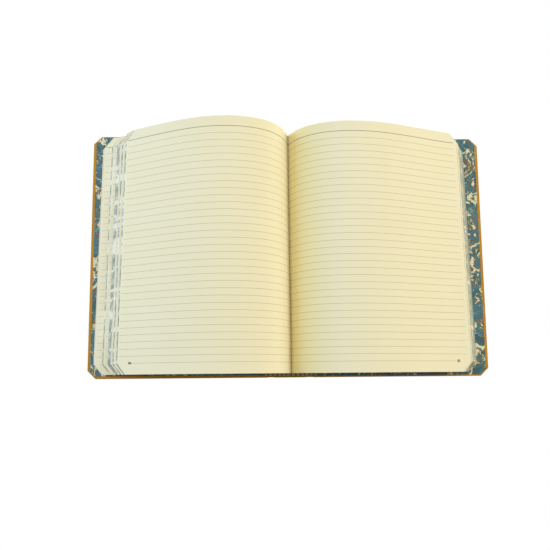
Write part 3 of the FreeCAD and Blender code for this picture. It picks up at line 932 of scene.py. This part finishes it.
def wrapped_slab(bm, outline, height, radius):
    """A flat board on an outline, its rims and corners rounded by the cloth that wraps them."""
    base = bm.faces.new([bm.verts.new((x, y, 0)) for x, y in outline])
    raised = bmesh.ops.extrude_face_region(bm, geom=[base])["geom"]
    top = [item for item in raised if isinstance(item, bmesh.types.BMVert)]
    bmesh.ops.translate(bm, verts=top, vec=(0, 0, height))
    bmesh.ops.recalc_face_normals(bm, faces=bm.faces)
    bmesh.ops.bevel(
        bm,
        geom=bm.edges[:],
        offset=radius,
        offset_type="OFFSET",
        affect="EDGES",
        segments=4,
        profile=0.5,
        material=-1,
        clamp_overlap=True,
    )
    for face in bm.faces:
        face.smooth = True
    mark_hard_edges(bm)


def build_board(side, materials):
    """One covered board, on the CAD board's outline. Gives the place of its inner edge."""
    name = f"{SIDE_NAME[side]}_cover"
    body = f"{SIDE_NAME[side]}_board"
    low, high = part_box(name)
    outer = max(abs(low.x), abs(high.x))
    top_z = high.z
    points = [vert.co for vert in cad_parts[name].data.vertices]
    inner = min(abs(p.x) for p in points if p.z > top_z - CLOSE) - WRAP_RADIUS
    cut = high.y - max(p.y for p in points if abs(p.x) > outer - CLOSE)
    outline = [
        (inner, low.y),
        (outer - cut, low.y),
        (outer, low.y + cut),
        (outer, high.y - cut),
        (outer - cut, high.y),
        (inner, high.y),
    ]
    bm = bmesh.new()
    wrapped_slab(bm, [(side * x, y) for x, y in outline], top_z, WRAP_RADIUS)
    finish_piece(f"{SIDE_NAME[side]}_board_cloth", bm, body, materials, [name])
    return inner


cloth = book_cloth()
grey_card = greyboard()
board_inner = {edge_side: build_board(edge_side, [cloth]) for edge_side in (LEFT, RIGHT)}

spine_low, spine_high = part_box("spine")
spine_points = [vert.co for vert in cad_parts["spine"].data.vertices]
spine_half = max(p.x for p in spine_points if p.z < CLOSE) + SPINE_WRAP_RADIUS
spine_strip = bmesh.new()
spine_outline = [
    (-spine_half, spine_low.y),
    (spine_half, spine_low.y),
    (spine_half, spine_high.y),
    (-spine_half, spine_high.y),
]
wrapped_slab(spine_strip, spine_outline, spine_high.z, SPINE_WRAP_RADIUS)
for turn_end in (TAIL, HEAD):
    bmesh.ops.bisect_plane(
        spine_strip,
        geom=spine_strip.verts[:] + spine_strip.edges[:] + spine_strip.faces[:],
        plane_co=(0, turn_end * (spine_high.y - CLOTH_TURN_IN), 0),
        plane_no=(0, 1, 0),
    )
for strip_face in spine_strip.faces:
    centre = strip_face.calc_center_median()
    inside = strip_face.normal.z > 0.99 and abs(centre.y) < spine_high.y - CLOTH_TURN_IN
    strip_face.material_index = 1 if inside else 0
finish_piece("spine_strip", spine_strip, "block", [cloth, grey_card], ["spine"])


def dip_cloth_in_joint(side):
    """The cloth between spine and board: off the spine's edge, up into the groove, back to the board."""
    start_x = spine_half - CLOTH_LAP
    end_x = board_inner[side] + CLOTH_LAP
    line = []
    for step in range(JOINT_STEPS + 1):
        share = step / JOINT_STEPS
        rise = smooth_step(min(share, 1 - share) / GROOVE_SLOPE_SHARE)
        line.append((start_x + (end_x - start_x) * share, OUTER_SKIN + (GROOVE_DEPTH - OUTER_SKIN) * rise))
    middle_line = [(side * x, z + CLOTH_THICKNESS / 2) for x, z in line]
    half_length = spine_high.y - JOINT_END_CLEAR
    bm = bmesh.new()
    carry_strip(bm, middle_line, CLOTH_THICKNESS, half_length, JOINT_LANES)
    strip = finish_piece(f"{SIDE_NAME[side]}_joint_cloth", bm, None, [cloth])
    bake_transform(strip)


for edge_side in (LEFT, RIGHT):
    dip_cloth_in_joint(edge_side)


# Floor: a plain white sweep under the book. It throws light back up at the book, but the camera looks
# through it to the white beyond, so the book stands on plain white.
FLOOR_HALF = 3.0
FLOOR_GAP = 0.02 * MM

floor_mesh = bmesh.new()
bmesh.ops.create_grid(floor_mesh, x_segments=1, y_segments=1, size=FLOOR_HALF)
floor_data = bpy.data.meshes.new("floor")
floor_mesh.to_mesh(floor_data)
floor_mesh.free()
floor = bpy.data.objects.new("floor", floor_data)
floor.location.z = cad_box[0].z - FLOOR_GAP
floor_paint, floor_tree, floor_surface = start_material("white_sweep", 0.9, 0.0)
floor_surface.inputs["Base Color"].default_value = srgb("#F4F4F4")
floor_path = add(floor_tree, "LightPath")
clear = add(floor_tree, "BsdfTransparent")
sweep = add(
    floor_tree,
    "MixShader",
    {0: floor_path.outputs["Is Camera Ray"], 1: floor_surface, 2: clear},
)
floor_tree.links.new(sweep.outputs[0], floor_tree.nodes["Material Output"].inputs["Surface"])
floor_data.materials.append(floor_paint)
bpy.context.scene.collection.objects.link(floor)
floor.visible_shadow = False


# Light: a weak white world and two soft boxes on each side, one of them low, so that the gutter and the
# hollows between the bundles stay dark. They stand towards the head; the low one on the left is cool.
WORLD_LIGHT = 0.12
world = bpy.data.worlds.new("studio")
bpy.context.scene.world = world
world.use_nodes = True
world_tree = world.node_tree
path = add(world_tree, "LightPath")
seen = calc(world_tree, "MAXIMUM", path.outputs["Is Camera Ray"], path.outputs["Is Glossy Ray"])
seen = calc(world_tree, "MAXIMUM", seen, path.outputs["Is Transmission Ray"])
strength = remap(world_tree, seen, (0.0, 1.0), (WORLD_LIGHT, 1.0))
world_tree.links.new(strength.outputs[0], world_tree.nodes["Background"].inputs["Strength"])
world_tree.nodes["Background"].inputs["Color"].default_value = (1.0, 1.0, 1.0, 1.0)


SOFT_BOX_SIZE = 1.35


def soft_box(name, place, power, colour):
    """A square soft box that faces the book, out of the camera's sight."""
    lamp = bpy.data.lights.new(name, "AREA")
    lamp.size = SOFT_BOX_SIZE
    lamp.energy = power
    lamp.color = srgb(colour)[:3]
    box = bpy.data.objects.new(name, lamp)
    box.location = place
    box.rotation_mode = "QUATERNION"
    box.rotation_quaternion = (-Vector(place)).to_track_quat("-Z", "Y")
    box.visible_camera = False
    bpy.context.scene.collection.objects.link(box)


soft_box("right_low_box", (2.25, 0.5, 0.84), 31.5, "#FFFAEE")
soft_box("right_high_box", (1.86, 0.5, 1.53), 23.0, "#FFF8EA")
soft_box("left_low_box", (-2.25, 0.5, 0.84), 49.0, "#BAD5FF")
soft_box("left_high_box", (-1.17, 0.45, 2.15), 23.5, "#FFFCF0")


# Camera: over the foot of the spread and a little left of the gutter, looking almost straight down.
# Its place and lens are those that bring the rules and the boards' corners onto the photograph's.
CAMERA_PLACE = Vector((-27.94, -130.6, 457.96)) * MM
CAMERA_PITCH = 0.0886
CAMERA_LEAN = 0.0263
CAMERA_ROLL = -0.0064
CAMERA_LENS_MM = 28.145
CAMERA_SHIFT_Y = 0.114

camera_data = bpy.data.cameras.new("camera")
camera_data.lens = CAMERA_LENS_MM
camera_data.shift_y = CAMERA_SHIFT_Y
camera = bpy.data.objects.new("camera", camera_data)
camera.location = CAMERA_PLACE
camera.rotation_mode = "ZYX"
camera.rotation_euler = (CAMERA_PITCH, -CAMERA_LEAN, CAMERA_ROLL)
bpy.context.scene.collection.objects.link(camera)
bpy.context.scene.camera = camera
bpy.context.scene.view_settings.view_transform = "Standard"
